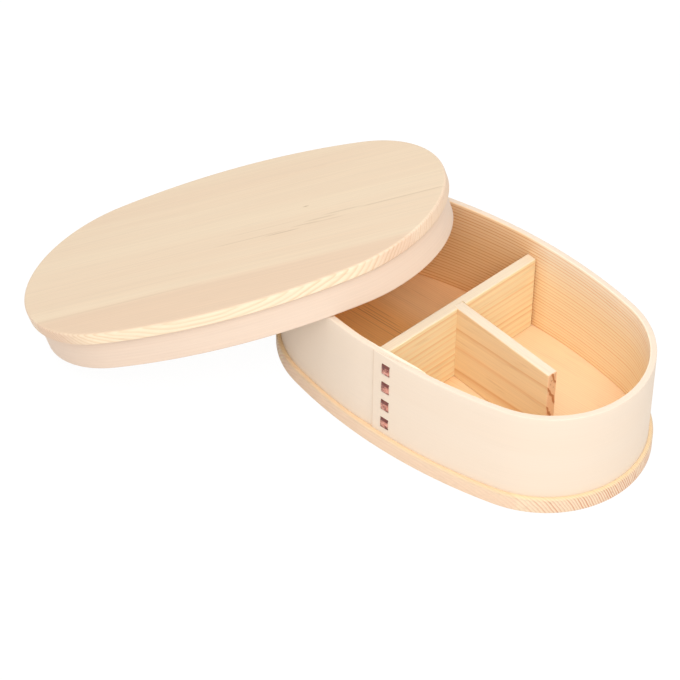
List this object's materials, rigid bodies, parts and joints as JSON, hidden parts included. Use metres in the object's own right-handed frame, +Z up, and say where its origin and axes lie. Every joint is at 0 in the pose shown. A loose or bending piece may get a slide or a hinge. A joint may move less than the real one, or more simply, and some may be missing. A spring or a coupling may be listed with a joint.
{
  "type": "wooden lunch box",
  "caption": "Oval bentwood lunch box with bark-laced lapped bands, two lift-out dividers that slot together as a T, and a slip-over lid leaning against the rim.",
  "frame": {"origin": "centre of the base board's flat underside", "axes": "+X along the box's length, away from the leaning lid; +Z up out of the box; the laced side of the body faces -Y"},
  "size_m": [0.2746, 0.1714, 0.0855],
  "materials": {
    "base_board": "bare planed softwood, faintly glossy",
    "body_band": "bare smooth-sanded bent softwood",
    "body_lace": "glossy tree bark strip",
    "cross_divider": "bare planed softwood",
    "centre_divider": "bare planed softwood",
    "lid_board": "bare planed softwood",
    "lid_band": "bare smooth-sanded bent softwood",
    "lid_lace": "glossy tree bark strip"
  },
  "bodies": {
    "base": {"base_board": "base_board", "body_band": "body_band", "body_lace": "body_lace"},
    "cross_divider": {"cross_divider": "cross_divider"},
    "centre_divider": {"centre_divider": "centre_divider"},
    "lid": {"lid_board": "lid_board", "lid_band": "lid_band", "lid_lace": "lid_lace"}
  },
  "joints": [
    {"name": "lid_lift", "type": "slide", "parent": "base", "child": "lid", "axis": [0, 0, 1], "range_m": [0, 0.12]},
    {"name": "cross_lift", "type": "slide", "parent": "base", "child": "cross_divider", "axis": [0, 0, 1], "range_m": [0, 0.06]},
    {"name": "centre_lift", "type": "slide", "parent": "cross_divider", "child": "centre_divider", "axis": [0, 0, 1], "range_m": [0, 0.06]}
  ]
}
